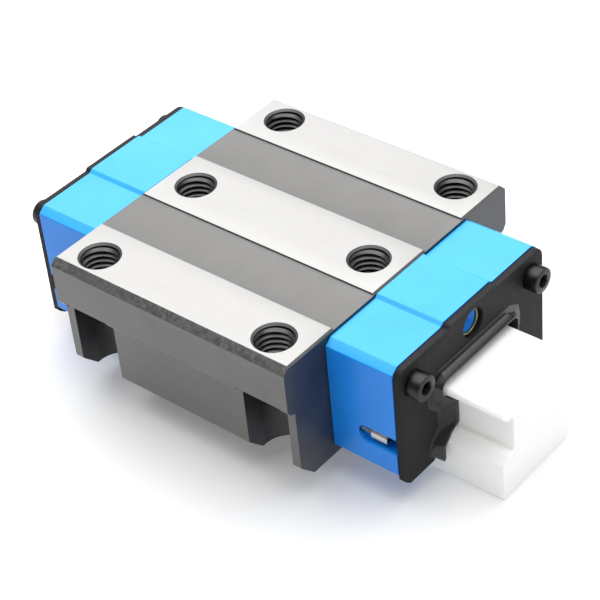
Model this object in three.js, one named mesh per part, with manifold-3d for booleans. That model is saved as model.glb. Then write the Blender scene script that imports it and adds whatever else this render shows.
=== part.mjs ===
// Flanged roller guide carriage, size 25, on its plastic mounting rail. Millimetres, +Z up.
// Origin: centre of the top mounting face. +X runs along the rail to the front end. +Y is the left side.
import * as THREE from "three";
import { mergeVertices } from "three/addons/utils/BufferGeometryUtils.js";
import Module from "manifold-3d";

const wasm = await Module();
wasm.setup();

// ---------- driving dimensions ----------
const casing = {
  halfLength: 30,
  flangeHalfWidth: 35,
  flangeBottom: -10.2,
  topChamfer: 1.5,
  flangeLip: 0.8,
  legHalfWidth: 33,
  legBottom: -29.5,
  legCorner: 3.7,
  stripHalfWidth: 8.1,
  outerStripStart: 20.4,
  channelDepth: 0.4,
  slotHalfWidth: 14,
  slotRoof: -11.4,
  endBevel: 0.5,
};
const underSealSeat = { width: 1, depth: 1.1, gap: 0.2 };
const underSealReach = 0.7;
const boltHole = {
  columns: [-22.5, 22.5],
  rows: [-28.5, 0, 28.5],
  radius: 3.4,
  mouthRadius: 4.45,
  pocketRadius: 5.5,
};
const seatGap = 0.05;
const toolReach = 1;
const endPlate = {
  innerX: casing.halfLength + seatGap,
  outerX: 45.5,
  halfWidth: 23.2,
  top: -1,
  bottom: -28.3,
  corner: 1.5,
  crownHalfWidth: 7.3,
  crownTop: -0.3,
};
const sealPlate = {
  innerX: endPlate.outerX + seatGap,
  outerX: 47,
  halfWidth: 23,
  top: -1.2,
  bottom: -29.4,
  topCorner: 2,
  bottomCorner: 1.5,
  crownHalfWidth: 7.2,
  crownTop: -0.6,
};
const sealLip = {
  innerX: sealPlate.outerX + seatGap,
  outerX: 48.6,
  halfWidth: 15.4,
  top: -8.3,
  bottom: -30,
  topCorner: 3,
  footWidth: 1.7,
  footHeight: 2.4,
  tipWidth: 0.6,
};
const grooveZ = -20;
const rail = {
  halfWidth: 11,
  top: -12.6,
  headRadius: 1.4,
  trackInset: 5.1,
  shoulderHalfWidth: 9.4,
  waistHalfWidth: 7.4,
  filletWidth: 0.5,
  base: -34.8,
  halfLength: 61,
};
// Each opening round the rail; its lobe reaches into the rail's groove through (y, rise) points.
const openings = {
  endPlate: { halfWidth: 12, top: -10.8, radius: 1.6, lobe: [[12, 6], [7.9, 1.9]] },
  sealPlate: { halfWidth: 12.7, top: -10.2, radius: 2, lobe: [[12.7, 5.8], [10.4, 3.5], [8.5, 2.6]] },
  sealLip: { halfWidth: 12.2, top: -10.6, radius: 1.7, lobe: [[12.2, 6.4], [10, 4.1], [7.65, 3.1]] },
};

const roller = { radius: 1.75, length: 4.6, pitch: 4.1, flatHalf: 0.9, bandStart: 1.6, bandHalf: 0.3 };
const trackGap = 0.25;
const rollersPerTurn = 4;
const turnRadius = (rollersPerTurn * roller.pitch) / Math.PI;
const loadedRow = { y: 11, rise: 3.025 };
const circuits = {
  upper: { rise: loadedRow.rise, lean: -1, count: 15 },
  lower: { rise: -loadedRow.rise, lean: 1, count: 18 },
};
const returnReach = Math.SQRT2 * turnRadius;
const nose = { tip: loadedRow.y - 0.4, flatHalf: 0.08 };
const sleeve = { outerRadius: 3.6, boreRadius: 3.75 };
const retainerGap = 0.3;
const upperRetainer = { width: 1.85, footRise: 3.9 };
const middleRetainer = { frontY: 7.7, frontHalf: 2.1, bevel: 0.33, backY: 9.9 };
const stripHalfLength = casing.halfLength - 0.1;
const slotHalfWidth = roller.length / 2 + 0.2;
const guideHalfWidth = slotHalfWidth - 0.15;
const guideGap = 0.1;
const guideStep = 0.3;

const sealScrew = {
  y: 18.9,
  z: -6,
  headRadius: 2.75,
  headHeight: 3,
  keyRadius: 1.44,
  shankRadius: 1.4,
  shankLength: 25,
  holeRadius: 1.6,
  holeEnd: 21,
};
const plateScrew = {
  y: 21.4,
  z: grooveZ,
  seatX: 39.2,
  headRadius: 1.5,
  headHeight: 3.8,
  keyRadius: 0.85,
  shankRadius: 1,
  shankLength: 14,
  holeRadius: 1.15,
  holeEnd: 24,
};
const sideRecess = { radius: 1.8, centreX: 38.2, scoopY: 22.6 };
const greasePort = {
  z: -4.85,
  holeRadius: 3.1,
  ring: { outerRadius: 2.95, innerRadius: 2.5, thickness: 0.5 },
  coneRadius: 2.2,
  oilwayRadius: 1,
  oilwayEnd: 33,
};

// ---------- materials ----------
const finish = (color, roughness, metalness) =>
  new THREE.MeshStandardMaterial({ color, roughness, metalness });
const materials = {
  casing: () => finish(0x9c9a97, 0.42, 0.85),
  endPlate: () => finish(0x1f8fe0, 0.32, 0),
  sealPlate: () => finish(0x2b2b2d, 0.5, 0.3),
  rubber: () => finish(0x151515, 0.6, 0),
  screw: () => finish(0x3a3a3d, 0.4, 0.8),
  pin: () => finish(0xa7a08f, 0.35, 0.9),
  brass: () => finish(0xb5a642, 0.35, 0.9),
  guide: () => finish(0x2f3338, 0.55, 0),
  retainer: () => finish(0x3c4046, 0.55, 0),
  roller: () => finish(0xd0d2d6, 0.18, 0.95),
  rail: () => finish(0xf1f1ec, 0.45, 0),
};

// ---------- solids ----------
function solidOf(geometry) {
  const bare = geometry.clone();
  bare.deleteAttribute("normal");
  bare.deleteAttribute("uv");
  const merged = mergeVertices(bare, 1e-5);
  return new wasm.Manifold(
    new wasm.Mesh({
      numProp: 3,
      vertProperties: new Float32Array(merged.attributes.position.array),
      triVerts: new Uint32Array(merged.index.array),
    }),
  );
}

function geometryOf(solid) {
  const mesh = solid.getMesh();
  const geometry = new THREE.BufferGeometry();
  geometry.setAttribute("position", new THREE.BufferAttribute(mesh.vertProperties, 3));
  geometry.setIndex(new THREE.BufferAttribute(mesh.triVerts, 1));
  geometry.computeVertexNormals();
  return geometry;
}

function joined(solids) {
  return solids.reduce((whole, next) => whole.add(next));
}

function cutFrom(geometry, tools) {
  return geometryOf(solidOf(geometry).subtract(joined(tools)));
}

function shapeOf(points, holes = []) {
  const shape = new THREE.Shape(points.map(([u, v]) => new THREE.Vector2(u, v)));
  for (const hole of holes) {
    shape.holes.push(new THREE.Path(hole.map(([u, v]) => new THREE.Vector2(u, v))));
  }
  return shape;
}

function circlePoints(radius, sides, centreU = 0, centreV = 0) {
  return Array.from({ length: sides }, (_, i) => {
    const turn = (2 * Math.PI * (i + 0.5)) / sides;
    return [centreU + radius * Math.cos(turn), centreV + radius * Math.sin(turn)];
  });
}

function arcPoints(centreU, centreV, radius, fromDegrees, toDegrees, steps) {
  return Array.from({ length: steps + 1 }, (_, i) => {
    const turn = THREE.MathUtils.degToRad(fromDegrees + ((toDegrees - fromDegrees) * i) / steps);
    return [centreU + radius * Math.cos(turn), centreV + radius * Math.sin(turn)];
  });
}

// A (y, z) outline run along X.
function alongX(points, fromX, toX, holes = []) {
  const geometry = new THREE.ExtrudeGeometry(shapeOf(points, holes), {
    depth: toX - fromX,
    bevelEnabled: false,
  });
  const turn = new THREE.Matrix4().set(0, 0, 1, fromX, 1, 0, 0, 0, 0, 1, 0, 0, 0, 0, 0, 1);
  return geometry.applyMatrix4(turn);
}

// An (x, v) outline run along the third axis, centred on it.
function acrossTrack(points, halfWidth) {
  const geometry = new THREE.ExtrudeGeometry(shapeOf(points), {
    depth: 2 * halfWidth,
    bevelEnabled: false,
  });
  return geometry.translate(0, 0, -halfWidth);
}

// A round bar along X.
function barAlongX(radius, fromX, toX, y, z, sides = 24) {
  return alongX(circlePoints(radius, sides, y, z), fromX, toX);
}

// A round bar or cone along Z.
function barAlongZ(bottomRadius, topRadius, fromZ, toZ, x, y, sides = 24) {
  const geometry = new THREE.CylinderGeometry(topRadius, bottomRadius, toZ - fromZ, sides);
  return geometry.rotateX(Math.PI / 2).translate(x, y, (fromZ + toZ) / 2);
}

function mirrored(points) {
  return [...points, ...points.map(([y, z]) => [-y, z]).reverse()];
}

function mesh(name, geometry, material) {
  const made = new THREE.Mesh(geometry, material);
  made.name = name;
  return made;
}

// ---------- casing ----------
function casingProfile() {
  const { flangeHalfWidth, flangeBottom, topChamfer, flangeLip, legHalfWidth, legBottom, legCorner } = casing;
  const { stripHalfWidth, outerStripStart, channelDepth, slotHalfWidth: slotHalf, slotRoof } = casing;
  const raceRise = slotHalf - nose.tip + nose.flatHalf;
  const seatTop = legBottom + underSealSeat.depth;
  return mirrored([
    [stripHalfWidth, 0],
    [stripHalfWidth, -channelDepth],
    [outerStripStart, -channelDepth],
    [outerStripStart, 0],
    [flangeHalfWidth - topChamfer, 0],
    [flangeHalfWidth, -topChamfer],
    [flangeHalfWidth, flangeBottom],
    [flangeHalfWidth - flangeLip, flangeBottom - topChamfer + seatGap],
    [legHalfWidth, flangeBottom - topChamfer],
    [legHalfWidth, legBottom + legCorner],
    [legHalfWidth - legCorner, legBottom],
    [slotHalf + underSealSeat.width, legBottom],
    [slotHalf + underSealSeat.width, seatTop],
    [slotHalf, seatTop],
    [slotHalf, grooveZ - raceRise],
    [nose.tip, grooveZ - nose.flatHalf],
    [nose.tip, grooveZ + nose.flatHalf],
    [slotHalf, grooveZ + raceRise],
    [slotHalf, slotRoof],
  ]);
}

function boltHoleTools() {
  const tools = [];
  const { radius, mouthRadius } = boltHole;
  const flare = toolReach / 2;
  const depth = casing.slotRoof - toolReach;
  for (const x of boltHole.columns) {
    for (const y of boltHole.rows) {
      tools.push(solidOf(barAlongZ(radius, radius, depth, toolReach, x, y)));
      tools.push(solidOf(barAlongZ(radius, mouthRadius + flare, radius - mouthRadius, flare, x, y)));
      if (y !== 0) tools.push(solidOf(boltPocket(x, y)));
    }
  }
  return tools;
}

// The space under the flange for a bolt head, open to the side and below.
function boltPocket(x, y) {
  const side = Math.sign(y);
  const radius = boltHole.pocketRadius;
  const height = casing.flangeBottom - casing.legBottom + toolReach;
  const inner = arcPoints(x, y, radius, side > 0 ? 180 : 0, side > 0 ? 360 : 180, 12);
  const outerY = side * (casing.flangeHalfWidth + toolReach);
  const outline = [...inner, [x + side * radius, outerY], [x - side * radius, outerY]];
  const geometry = new THREE.ExtrudeGeometry(shapeOf(outline), { depth: height, bevelEnabled: false });
  return geometry.translate(0, 0, casing.flangeBottom - height);
}

function returnCentres() {
  return Object.values(circuits).map((circuit) => [
    loadedRow.y + returnReach,
    grooveZ + circuit.rise + circuit.lean * returnReach,
  ]);
}

// Blind holes into both end faces on both sides for one kind of screw.
function screwHoleTools({ y, z, holeRadius, holeEnd }, sides) {
  const far = casing.halfLength + toolReach;
  return [
    [holeEnd, far, y],
    [holeEnd, far, -y],
    [-far, -holeEnd, y],
    [-far, -holeEnd, -y],
  ].map(([from, to, holeY]) => solidOf(barAlongX(holeRadius, from, to, holeY, z, sides)));
}

function returnBoreTools() {
  const far = casing.halfLength + toolReach;
  return returnCentres().flatMap(([y, z]) =>
    [y, -y].map((boreY) => solidOf(barAlongX(sleeve.boreRadius, -far, far, boreY, z))),
  );
}

// Thin wedges that bevel the casing's top edge at its two ends.
function endBevelTools() {
  const bevel = casing.endBevel;
  const over = bevel / 5;
  const halfWidth = casing.flangeHalfWidth + toolReach;
  const wedge = [
    [casing.halfLength - bevel - over, over],
    [casing.halfLength + over, -bevel - over],
    [casing.halfLength + over, over],
  ];
  return [1, -1].map((end) => {
    const outline = end > 0 ? wedge : wedge.map(([x, z]) => [-x, z]).reverse();
    const geometry = new THREE.ExtrudeGeometry(shapeOf(outline), {
      depth: 2 * halfWidth,
      bevelEnabled: false,
    });
    return solidOf(geometry.rotateX(Math.PI / 2).translate(0, halfWidth, 0));
  });
}

function makeCasing() {
  const block = alongX(casingProfile(), -casing.halfLength, casing.halfLength);
  const tools = [
    ...boltHoleTools(),
    ...returnBoreTools(),
    ...screwHoleTools(sealScrew, 16),
    ...screwHoleTools(plateScrew, 12),
    ...endBevelTools(),
  ];
  return mesh("carriage_casing", cutFrom(block, tools), materials.casing());
}

// ---------- end plates ----------
// (y, rise) points above the groove's middle, then the same points below it.
function aboutGroove(points) {
  const above = points.map(([y, rise]) => [y, grooveZ + rise]);
  const below = points.map(([y, rise]) => [y, grooveZ - rise]);
  return [...above, ...below.reverse()];
}

// Half of the opening round the rail, from its top down to its foot.
function railOpening({ halfWidth, top, radius, lobe }) {
  return [...arcPoints(halfWidth - radius, top - radius, radius, 90, 0, 4), ...aboutGroove(lobe)];
}

function endPlateProfile() {
  const { halfWidth, top, bottom, corner, crownHalfWidth, crownTop } = endPlate;
  const crownSlope = crownTop - top;
  return mirrored([
    [crownHalfWidth, crownTop],
    [crownHalfWidth + crownSlope, top],
    [halfWidth - corner, top],
    [halfWidth, top - corner],
    [halfWidth, bottom + corner],
    [halfWidth - corner, bottom],
    [openings.endPlate.halfWidth, bottom],
    ...railOpening(openings.endPlate).reverse(),
  ]);
}

function trackStartX(circuit) {
  return (circuit.count * roller.pitch) / 2;
}

// The D-shaped space that a row turns in, in (x, v): v runs from the loaded row to the return row.
function turnSlotOutline(circuit) {
  const reach = turnRadius + roller.radius + trackGap;
  const startX = endPlate.innerX - toolReach;
  return [
    [startX, turnRadius - reach],
    ...arcPoints(trackStartX(circuit), turnRadius, reach, -90, 90, 12),
    [startX, turnRadius + reach],
  ];
}

// Places a track's own (x, v, w) frame on the body: side is 1 on the left and -1 on the right.
function trackMatrix(circuit, side) {
  const matrix = new THREE.Matrix4().makeRotationX(trackAngle(circuit, side));
  return matrix.setPosition(0, side * loadedRow.y, grooveZ + circuit.rise);
}

function trackAngle(circuit, side) {
  return Math.atan2(circuit.lean, side);
}

// The side recess, rounded at its inner end and open outwards, with the screw head's bore behind it.
function sideRecessTools(side) {
  const { radius, centreX, scoopY } = sideRecess;
  const { y, z, seatX } = plateScrew;
  const far = endPlate.outerX + toolReach;
  const innerEnd = arcPoints(centreX, z, radius, 90, 270, 8);
  const outline = [...innerEnd, [far, z - radius], [far, z + radius]];
  const depth = endPlate.halfWidth - scoopY + toolReach;
  const scoop = new THREE.ExtrudeGeometry(shapeOf(outline), { depth, bevelEnabled: false });
  scoop.rotateX(Math.PI / 2).translate(0, side > 0 ? scoopY + depth : -scoopY, 0);
  const slotDepth = endPlate.halfWidth - y + toolReach;
  const slot = new THREE.BoxGeometry(far - seatX, slotDepth, 2 * radius);
  slot.translate((far + seatX) / 2, side * (y + slotDepth / 2), z);
  const bore = barAlongX(radius, seatX, far, side * y, z, 16);
  return [solidOf(scoop), solidOf(slot), solidOf(bore)];
}

// The port's blind oilway and its conical seat in the end plate's outer face.
function portTools() {
  const { z, coneRadius, oilwayRadius, oilwayEnd } = greasePort;
  const depth = coneRadius - oilwayRadius;
  const cone = new THREE.CylinderGeometry(coneRadius + toolReach, oilwayRadius, depth + toolReach, 24);
  cone.rotateZ(-Math.PI / 2).translate(endPlate.outerX + (toolReach - depth) / 2, 0, z);
  const oilway = barAlongX(oilwayRadius, oilwayEnd, endPlate.outerX + toolReach, 0, z, 16);
  return [solidOf(cone), solidOf(oilway)];
}

function endPlateTools() {
  const tools = portTools();
  const from = endPlate.innerX - toolReach;
  const far = endPlate.outerX + toolReach;
  for (const side of [-1, 1]) {
    for (const circuit of Object.values(circuits)) {
      const slot = acrossTrack(turnSlotOutline(circuit), slotHalfWidth);
      tools.push(solidOf(slot.applyMatrix4(trackMatrix(circuit, side))));
    }
    const seal = barAlongX(sealScrew.holeRadius, from, far, side * sealScrew.y, sealScrew.z, 16);
    const shankEnd = plateScrew.seatX + toolReach;
    const plate = barAlongX(plateScrew.holeRadius, from, shankEnd, side * plateScrew.y, plateScrew.z, 12);
    tools.push(solidOf(seal), solidOf(plate), ...sideRecessTools(side));
  }
  return tools;
}

function makeEndPlate(name) {
  const block = alongX(endPlateProfile(), endPlate.innerX, endPlate.outerX);
  return mesh(name, cutFrom(block, endPlateTools()), materials.endPlate());
}

// ---------- seals ----------
function sealPlateProfile() {
  const { halfWidth, top, bottom, topCorner, bottomCorner, crownHalfWidth, crownTop } = sealPlate;
  const crownSlope = crownTop - top;
  const foot = openings.sealPlate.halfWidth;
  return mirrored([
    [crownHalfWidth, crownTop],
    [crownHalfWidth + crownSlope, top],
    ...arcPoints(halfWidth - topCorner, top - topCorner, topCorner, 90, 0, 4),
    [halfWidth, bottom + bottomCorner],
    [halfWidth - bottomCorner, bottom],
    [foot + bottomCorner, bottom],
    [foot, bottom + bottomCorner],
    ...railOpening(openings.sealPlate).reverse(),
  ]);
}

function makeSealPlate(name) {
  const holes = [-1, 1].map((side) =>
    circlePoints(sealScrew.holeRadius, 16, side * sealScrew.y, sealScrew.z),
  );
  holes.push(circlePoints(greasePort.holeRadius, 24, 0, greasePort.z));
  const plate = alongX(sealPlateProfile(), sealPlate.innerX, sealPlate.outerX, holes);
  return mesh(name, plate, materials.sealPlate());
}

function lipProfile() {
  const { halfWidth, top, bottom, topCorner, footWidth, footHeight, tipWidth } = sealLip;
  return mirrored([
    [halfWidth - topCorner, top],
    [halfWidth, top - topCorner],
    [halfWidth, bottom + footHeight],
    [halfWidth - footWidth, bottom + footHeight / 2],
    [openings.sealLip.halfWidth + tipWidth, bottom],
    [openings.sealLip.halfWidth, bottom + tipWidth],
    ...railOpening(openings.sealLip).reverse(),
  ]);
}

function makeSealLip(name) {
  const lip = alongX(lipProfile(), sealLip.innerX, sealLip.outerX);
  return mesh(name, lip, materials.rubber());
}

// ---------- screws and grease port ----------
// A cap screw along X with its head's seat at x = 0 and its shank towards -X.
function capScrew({ headRadius, headHeight, keyRadius, shankRadius, shankLength }) {
  const key = circlePoints(keyRadius, 6).reverse();
  const rim = alongX(circlePoints(headRadius, 24), headHeight / 2, headHeight, [key]);
  const base = alongX(circlePoints(headRadius, 24), 0, headHeight / 2);
  const shank = barAlongX(shankRadius, -shankLength, headHeight / 4, 0, 0, 16);
  return geometryOf(joined([solidOf(rim), solidOf(base), solidOf(shank)]));
}

function makeScrew(name, dims, seatX, side, material) {
  const screw = mesh(name, capScrew(dims), material);
  screw.position.set(seatX, side * dims.y, dims.z);
  return screw;
}

function makePortRing(name) {
  const { outerRadius, innerRadius, thickness } = greasePort.ring;
  const hole = circlePoints(innerRadius, 24).reverse();
  const outline = circlePoints(outerRadius, 24);
  const ring = alongX(outline, sealPlate.innerX, sealPlate.innerX + thickness, [hole]);
  const made = mesh(name, ring, materials.brass());
  made.position.z = greasePort.z;
  return made;
}

// ---------- retainers, under seals and sleeves on one side ----------
function stripMesh(name, points, material) {
  return mesh(name, alongX(points, -stripHalfLength, stripHalfLength), material);
}

// A wedge between the loaded rollers and the roof, beside the slot's wall.
function upperRetainerProfile() {
  const outerY = casing.slotHalfWidth - retainerGap;
  const innerY = outerY - upperRetainer.width;
  const roof = casing.slotRoof - retainerGap;
  const slopeSum = outerY + upperRetainer.footRise;
  return [
    [innerY, grooveZ + slopeSum - innerY],
    [outerY, grooveZ + slopeSum - outerY],
    [outerY, roof],
    [innerY, roof],
  ];
}

function flippedInGroove(points) {
  return points.map(([y, z]) => [y, 2 * grooveZ - z]).reverse();
}

// A strip in front of the nose that keeps the two loaded rows apart.
function middleRetainerProfile() {
  const { frontY, frontHalf, bevel, backY } = middleRetainer;
  const shoulderY = frontY + bevel;
  const shoulderHalf = frontHalf + bevel;
  return aboutGroove([
    [frontY, frontHalf],
    [shoulderY, shoulderHalf],
    [backY, shoulderHalf - (backY - shoulderY)],
  ]);
}

function underSealProfile() {
  const { width, depth, gap } = underSealSeat;
  const outerY = casing.slotHalfWidth + width - gap;
  const innerY = rail.halfWidth + underSealReach;
  const bottom = casing.legBottom + gap;
  const top = casing.legBottom + depth - gap;
  return [
    [innerY, bottom],
    [outerY, bottom],
    [outerY, top],
    [innerY, top],
  ];
}

function makeSleeve(name, circuit) {
  const [y, z] = [loadedRow.y, grooveZ + circuit.rise];
  const halfDepth = roller.radius + trackGap;
  const halfWidth = roller.length / 2 + 0.15;
  const channel = [
    [-halfDepth, -halfWidth],
    [-halfDepth, halfWidth],
    [halfDepth, halfWidth],
    [halfDepth, -halfWidth],
  ];
  const outline = circlePoints(sleeve.outerRadius, 24);
  const tube = alongX(outline, -stripHalfLength, stripHalfLength, [channel]);
  const made = mesh(name, tube, materials.guide());
  made.position.set(0, y + returnReach, z + circuit.lean * returnReach);
  made.rotation.x = trackAngle(circuit, 1);
  return made;
}

function makeSide(sideName) {
  const side = new THREE.Group();
  const upper = upperRetainerProfile();
  side.add(
    stripMesh(`upper_retainer_${sideName}`, upper, materials.retainer()),
    stripMesh(`lower_retainer_${sideName}`, flippedInGroove(upper), materials.retainer()),
    stripMesh(`middle_retainer_${sideName}`, middleRetainerProfile(), materials.retainer()),
    stripMesh(`under_seal_${sideName}`, underSealProfile(), materials.rubber()),
    makeSleeve(`return_sleeve_upper_${sideName}`, circuits.upper),
    makeSleeve(`return_sleeve_lower_${sideName}`, circuits.lower),
  );
  side.rotation.z = sideName === "left" ? 0 : Math.PI;
  return side;
}

// ---------- roller circuits ----------
// One roller's half outline seen along its axis: (t, n) with t along the track, n away from it.
function rollerHalf() {
  const { radius, flatHalf, bandStart, bandHalf } = roller;
  return [
    [-bandStart, bandHalf],
    [-flatHalf, radius],
    [flatHalf, radius],
    [bandStart, bandHalf],
  ];
}

// A row of rollers joined by the thin band of their chain; place(i, t, n) gives a point's (x, v).
function chainOutline(count, place) {
  const outside = [];
  const inside = [];
  for (let i = 0; i < count; i += 1) {
    for (const [t, n] of rollerHalf()) {
      inside.push(place(i, t, -n));
      outside.push(place(i, t, n));
    }
  }
  return [...inside, ...outside.reverse()];
}

function makeRow(name, count, v) {
  const place = (i, t, n) => [(i - (count - 1) / 2) * roller.pitch + t, n];
  const row = acrossTrack(chainOutline(count, place), roller.length / 2);
  const made = mesh(name, row, materials.roller());
  made.position.y = v;
  return made;
}

function makeTurn(name) {
  const step = Math.PI / rollersPerTurn;
  const place = (i, t, n) => {
    const turn = -Math.PI / 2 + (i + 0.5) * step;
    const [along, out] = [turnRadius + n, t];
    return [
      along * Math.cos(turn) - out * Math.sin(turn),
      along * Math.sin(turn) + out * Math.cos(turn),
    ];
  };
  const outline = chainOutline(rollersPerTurn, place).reverse();
  return mesh(name, acrossTrack(outline, roller.length / 2), materials.roller());
}

// The inner core that an upper row turns around: a half disc with a short straight foot.
function shortGuideOutline(circuit) {
  const startX = trackStartX(circuit);
  const radius = turnRadius - roller.radius - trackGap;
  return [
    [endPlate.innerX + guideGap, turnRadius - radius],
    ...arcPoints(startX, turnRadius, radius, -90, 90, 10),
    [endPlate.innerX + guideGap, turnRadius + radius],
  ];
}

// The lower row turns farther out and steps over the upper row's turn.
function longGuideOutline(circuit) {
  const startX = trackStartX(circuit);
  const radius = turnRadius - roller.radius - trackGap;
  const upperReach = turnRadius + roller.radius + trackGap;
  const clearX = trackStartX(circuits.upper) + upperReach + guideStep;
  const spread = THREE.MathUtils.radToDeg(Math.acos((clearX - startX) / radius));
  const footV = Math.SQRT2 * loadedRow.rise + slotHalfWidth + guideStep;
  return [
    [clearX, footV],
    ...arcPoints(startX, turnRadius, radius, -spread, 90, 10),
    [endPlate.innerX + guideGap, turnRadius + radius],
    [endPlate.innerX + guideGap, footV],
  ];
}

function makeTurnEnd(label, circuit, endName) {
  const end = new THREE.Group();
  const outline = circuit === circuits.upper ? shortGuideOutline(circuit) : longGuideOutline(circuit);
  const guide = acrossTrack(outline, guideHalfWidth);
  const turn = makeTurn(`roller_turn_${endName}_${label}`);
  turn.position.set(trackStartX(circuit), turnRadius, 0);
  end.add(mesh(`turn_guide_${endName}_${label}`, guide, materials.guide()), turn);
  end.rotation.y = endName === "front" ? 0 : Math.PI;
  return end;
}

function makeCircuit(circuitName, sideName) {
  const circuit = circuits[circuitName];
  const side = sideName === "left" ? 1 : -1;
  const label = `${circuitName}_${sideName}`;
  const track = new THREE.Group();
  track.add(
    makeRow(`roller_row_loaded_${label}`, circuit.count, 0),
    makeRow(`roller_row_return_${label}`, circuit.count, 2 * turnRadius),
    makeTurnEnd(label, circuit, "front"),
    makeTurnEnd(label, circuit, "rear"),
  );
  track.position.set(0, side * loadedRow.y, grooveZ + circuit.rise);
  track.rotation.x = trackAngle(circuit, side);
  return track;
}

// ---------- mounting rail ----------
function railProfile() {
  const { halfWidth, top, headRadius, base } = rail;
  const { trackInset, shoulderHalfWidth, waistHalfWidth, filletWidth } = rail;
  const shoulderRise = shoulderHalfWidth - trackInset;
  return mirrored([
    ...arcPoints(halfWidth - headRadius, top - headRadius, headRadius, 90, 0, 4),
    ...aboutGroove([
      [halfWidth, halfWidth - trackInset],
      [shoulderHalfWidth, shoulderRise],
      [waistHalfWidth + filletWidth, shoulderRise],
      [waistHalfWidth, shoulderRise - filletWidth],
    ]),
    [halfWidth, base],
  ]);
}

function makeRail() {
  const bar = alongX(railProfile(), -rail.halfLength, rail.halfLength);
  return mesh("mounting_rail", bar, materials.rail());
}

// ---------- one end of the carriage ----------
function makeEnd(endName) {
  const end = new THREE.Group();
  end.add(
    makeEndPlate(`end_plate_${endName}`),
    makeSealPlate(`seal_plate_${endName}`),
    makeSealLip(`seal_lip_${endName}`),
    makePortRing(`grease_port_ring_${endName}`),
  );
  // The rear end is the front end turned about, so its sides swap names.
  const sideNames = endName === "front" ? ["left", "right"] : ["right", "left"];
  [1, -1].forEach((side, i) => {
    const label = `${endName}_${sideNames[i]}`;
    const sealSeat = sealPlate.outerX + seatGap;
    end.add(
      makeScrew(`seal_screw_${label}`, sealScrew, sealSeat, side, materials.screw()),
      makeScrew(`plate_screw_${label}`, plateScrew, plateScrew.seatX, side, materials.pin()),
    );
  });
  end.rotation.z = endName === "front" ? 0 : Math.PI;
  return end;
}

const carriage = new THREE.Group();
carriage.add(makeCasing());
for (const endName of ["front", "rear"]) carriage.add(makeEnd(endName));
for (const sideName of ["left", "right"]) {
  carriage.add(makeSide(sideName));
  for (const circuitName of Object.keys(circuits)) carriage.add(makeCircuit(circuitName, sideName));
}
carriage.add(makeRail());

export default carriage;
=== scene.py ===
"""Looks for the flanged roller guide carriage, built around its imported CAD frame.

Shapes are made in millimetres and scaled to metres as each piece is finished.
+X runs to the front end, +Y to the left side and +Z up, as in the CAD.
"""

import math

import bmesh
import bpy
from mathutils import Matrix, Vector


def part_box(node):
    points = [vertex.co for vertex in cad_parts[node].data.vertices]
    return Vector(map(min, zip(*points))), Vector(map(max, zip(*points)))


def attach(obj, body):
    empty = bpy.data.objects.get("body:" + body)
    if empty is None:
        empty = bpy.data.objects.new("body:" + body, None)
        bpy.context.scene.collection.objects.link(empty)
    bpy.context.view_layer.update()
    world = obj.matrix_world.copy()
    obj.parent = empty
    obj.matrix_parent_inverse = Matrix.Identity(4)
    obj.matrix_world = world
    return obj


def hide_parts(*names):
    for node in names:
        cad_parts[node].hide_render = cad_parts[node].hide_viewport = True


MM = 0.001
ENDS = {"front": 1, "rear": -1}
SIDES = {"left": 1, "right": -1}

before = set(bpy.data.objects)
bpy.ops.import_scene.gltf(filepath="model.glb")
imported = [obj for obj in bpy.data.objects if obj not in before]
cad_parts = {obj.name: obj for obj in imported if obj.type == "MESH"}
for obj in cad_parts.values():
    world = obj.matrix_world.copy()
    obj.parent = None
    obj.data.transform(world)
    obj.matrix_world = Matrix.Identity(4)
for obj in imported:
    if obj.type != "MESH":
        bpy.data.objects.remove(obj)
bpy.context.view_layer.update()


def box_mm(node):
    """Lowest and highest corner of a CAD node, in millimetres."""
    low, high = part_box(node)
    return low / MM, high / MM


# ---------- driving dimensions, read from the frame where a node gives them ----------
casing_low, casing_high = box_mm("carriage_casing")
plate_low, plate_high = box_mm("end_plate_front")
seal_low, seal_high = box_mm("seal_plate_front")
lip_low, lip_high = box_mm("seal_lip_front")
rail_low, rail_high = box_mm("mounting_rail")
head_low, head_high = box_mm("seal_screw_front_left")
pin_low, pin_high = box_mm("plate_screw_front_left")
port_low, port_high = box_mm("grease_port_ring_front")

CHANNEL_DEPTH = 0.4
CHANNEL_INNER = 8.1
CHANNEL_OUTER = 20.4
TOP_CHAMFER = 1.5
END_BEVEL = 0.5
LEG_HALF_WIDTH = 33.0
LEG_CORNER_RISE = 3.7
LEG_CORNER_RUN = 3.6
FLANGE_BOTTOM = -10.2
FLANGE_LIP = 0.8
FLANGE_LIP_RISE = 1.2
FLANGE_LIP_FOOT = 1.5
UNDER_SEAL_WIDTH = 1.0
UNDER_SEAL_DEPTH = 1.1
CROWN_UNDERSIDE = -11.4
RAIL_SLOT_HALF = 14.0
GROOVE_Z = -20.0
NOSE_TIP = 10.6
NOSE_FLAT = 0.08
NOSE_RISE = RAIL_SLOT_HALF - NOSE_TIP + NOSE_FLAT

BOLT_X = (-22.5, 22.5)
BOLT_Y = (-28.5, 0.0, 28.5)
BOLT_RADIUS = 4.0
BOLT_MOUTH = 4.45
THREAD_PITCH = 1.25
THREAD_CREST = 3.38
POCKET_RADIUS = 5.5

ROLLER_RADIUS = 1.75
ROLLER_PITCH = 4.1
ROLLERS_PER_TURN = 4
TURN_RADIUS = ROLLERS_PER_TURN * ROLLER_PITCH / math.pi
TRACK_GAP = 0.25
LOADED_Y = 11.0
LOADED_RISE = 3.025
CIRCUITS = {
    "upper": {"rise": LOADED_RISE, "lean": -1, "count": 15},
    "lower": {"rise": -LOADED_RISE, "lean": 1, "count": 18},
}
SLOT_HALF_WIDTH = 2.5
SLEEVE_BORE = 3.75

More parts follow.
